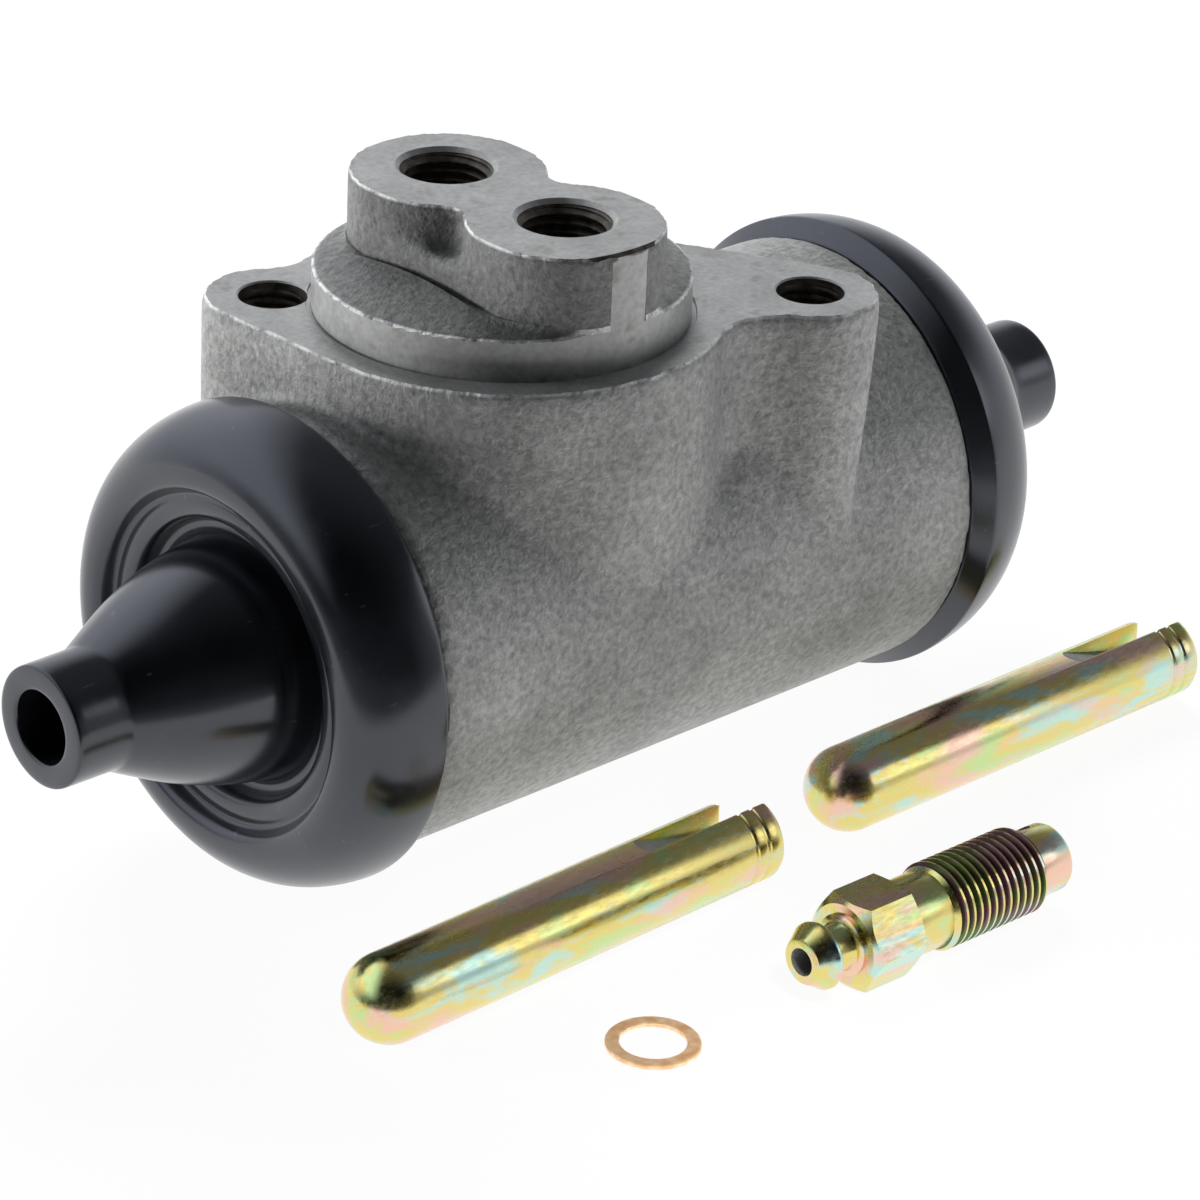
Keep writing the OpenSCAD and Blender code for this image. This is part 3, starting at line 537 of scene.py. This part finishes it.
# Annealed copper: pale orange, softly reflecting, with a darker mottling from the heat.
copper, tree, shader, place = finish("annealed_copper", 0.35, 0.4)
mottle = add(tree, "TexNoise", {"Vector": place, "Scale": 1 / (1.43 * MM), "Detail": 4.0})
patch = add(tree, "MapRange", {"Value": mottle.outputs["Fac"], "From Min": 0.35, "From Max": 0.65})
colour = add(tree, "Mix", {0: patch.outputs["Result"], 6: linear("#e0ab78"), 7: linear("#f6d3ab")},
    data_type="RGBA")
tree.links.new(colour.outputs[2], shader.inputs["Base Color"])
dents = add(tree, "Bump", {"Height": mottle.outputs["Fac"], "Strength": 0.25, "Distance": 0.03 * MM})
tree.links.new(dents.outputs["Normal"], shader.inputs["Normal"])
washer.data.materials.append(copper)
choose(washer)
bpy.ops.object.shade_smooth_by_angle(angle=radians(35))
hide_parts("copper_washer")
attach(washer, "cylinder")

# Floor: the white top of a light table, lit from below, which ends a hand's width in front of the part, so
# that undersides are bright, faces towards the camera dark and the shadow faint.
azimuth, elevation, camera_roll = radians(-44.232), radians(26.099), radians(2.591)
toward_camera = (sin(azimuth), -cos(azimuth), 0.0)
bpy.ops.object.select_all(action="DESELECT")
bpy.ops.mesh.primitive_plane_add(size=6000 * MM, location=(0, 0, floor_z * MM))
bpy.ops.object.transform_apply(location=True, rotation=True, scale=True)
floor = bpy.context.object
floor.name = "floor"
table, tree, shader, place = finish("white_light_table", 0.0, 0.8)
ahead = add(tree, "VectorMath", {0: place, 1: toward_camera}, operation="DOT_PRODUCT")
lit = add(tree, "MapRange", {"Value": ahead.outputs["Value"], "From Min": 95 * MM, "From Max": 140 * MM,
    "To Min": 1.0, "To Max": 0.05})
top = add(tree, "Mix", {0: lit.outputs["Result"], 6: linear("#2a2a2a"), 7: linear("#f2f2f2")},
    data_type="RGBA")
rays = add(tree, "LightPath")
unseen = add(tree, "Math", {0: 1.0, 1: rays.outputs["Is Camera Ray"]}, operation="SUBTRACT")
glow = add(tree, "Math", {0: lit.outputs["Result"], 1: 1.5}, operation="MULTIPLY")
glow = add(tree, "Math", {0: glow.outputs["Value"], 1: unseen.outputs["Value"]}, operation="MULTIPLY")
tree.links.new(top.outputs[2], shader.inputs["Base Color"])
shader.inputs["Emission Color"].default_value = linear("#ffffff")
tree.links.new(glow.outputs["Value"], shader.inputs["Emission Strength"])
mirrored = add(tree, "Math", {0: rays.outputs["Is Glossy Ray"], 1: rays.outputs["Is Transmission Ray"]},
    operation="MAXIMUM")
mirrored = add(tree, "Math", {0: mirrored.outputs["Value"], 1: lit.outputs["Result"]}, operation="MULTIPLY")
seen = add(tree, "Math", {0: rays.outputs["Is Camera Ray"], 1: mirrored.outputs["Value"]},
    operation="MAXIMUM")
share = add(tree, "Math", {0: seen.outputs["Value"], 1: 0.95}, operation="MULTIPLY")
white = add(tree, "Emission", {"Color": linear("#ffffff"), "Strength": 1.0})
both = add(tree, "MixShader", {0: share.outputs["Value"], 1: shader.outputs["BSDF"],
    2: white.outputs["Emission"]})
tree.links.new(both.outputs["Shader"], tree.nodes["Material Output"].inputs["Surface"])
floor.data.materials.append(table)

# Studio: a white backdrop low down behind and beside the part, a dark room above and behind the camera, and
# a pale card over the left that only shows as a reflection. The camera sees plain white.
world = bpy.data.worlds.new("studio")
bpy.context.scene.world = world
world.use_nodes = True
tree = world.node_tree
heading = add(tree, "TexCoord").outputs["Generated"]
axes = add(tree, "SeparateXYZ", {"Vector": heading})
band = add(tree, "MapRange", {"Value": axes.outputs["Z"], "From Min": 0.2, "From Max": 0.5, "To Min": 1.0,
    "To Max": 0.16})
ahead = add(tree, "VectorMath", {0: heading, 1: toward_camera}, operation="DOT_PRODUCT")
front = add(tree, "MapRange", {"Value": ahead.outputs["Value"], "From Min": -0.2, "From Max": 0.55,
    "To Min": 1.0, "To Max": 0.05})
level = add(tree, "Math", {0: band.outputs["Result"], 1: front.outputs["Result"]}, operation="MULTIPLY")
above = add(tree, "MapRange", {"Value": axes.outputs["Z"], "From Min": 0.2, "From Max": 0.5, "To Max": 1.2})
beside = add(tree, "VectorMath", {0: heading, 1: (-0.5, 0.866, 0.0)}, operation="DOT_PRODUCT")
leftward = add(tree, "MapRange", {"Value": beside.outputs["Value"], "From Min": 0.15, "From Max": 0.5})
rays = add(tree, "LightPath")
card = add(tree, "Math", {0: above.outputs["Result"], 1: leftward.outputs["Result"]}, operation="MULTIPLY")
card = add(tree, "Math", {0: card.outputs["Value"], 1: rays.outputs["Is Glossy Ray"]}, operation="MULTIPLY")
level = add(tree, "Math", {0: level.outputs["Value"], 1: card.outputs["Value"]}, operation="ADD")
shown = add(tree, "Math", {0: level.outputs["Value"], 1: rays.outputs["Is Camera Ray"]},
    operation="MAXIMUM")
sky = tree.nodes["Background"]
paper = add(tree, "Mix", {0: rays.outputs["Is Camera Ray"], 6: linear("#f2f5fd"), 7: linear("#ffffff")},
    data_type="RGBA")
tree.links.new(paper.outputs[2], sky.inputs["Color"])
tree.links.new(shown.outputs["Value"], sky.inputs["Strength"])

# Lamps: a softbox high behind the part, one low on the left, a small one in front on the right, and a narrow
# one from the front for the small pieces. Only the third shows as a highlight.
middle, small_pieces = (10, 0, -30), (-16, -62, floor_z)
for name, stand, aim, size, spread, power, in_gloss in (
        ("back", (400, 500, 550), middle, 400, 180, 10.5, False),
        ("left", (-600, 600, 60), middle, 220, 180, 11.0, False),
        ("right", (600, -620, 320), middle, 400, 180, 0.45, True),
        ("front", (-60, -190, 170), small_pieces, 60, 18, 0.012, False)):
    lamp = bpy.data.lights.new(name, "AREA")
    lamp.shape = "DISK"
    lamp.size = size * MM
    lamp.spread = radians(spread)
    lamp.energy = power
    light = bpy.data.objects.new(name, lamp)
    light.location = Vector(stand) * MM
    light.rotation_euler = (Vector(aim) - Vector(stand)).to_track_quat("-Z", "Y").to_euler()
    light.visible_glossy = in_gloss
    bpy.context.collection.objects.link(light)

# Camera: a long lens, aimed at the middle of the set and rolled a little, as in the photograph.
target, distance = Vector((16.236, 0, -39.283)) * MM, 576.05 * MM
lens = bpy.data.cameras.new("camera")
lens.lens = 158.35
lens.sensor_width = 36
lens.clip_start = 0.01
camera = bpy.data.objects.new("camera", lens)
look = Matrix.Rotation(azimuth, 4, "Z") @ Matrix.Rotation(pi / 2 - elevation, 4, "X")
look = look @ Matrix.Rotation(camera_roll, 4, "Z")
camera.matrix_world = Matrix.Translation(target) @ look @ Matrix.Translation((0, 0, distance))
bpy.context.collection.objects.link(camera)
bpy.context.scene.camera = camera
bpy.context.scene.view_settings.view_transform = "Standard"
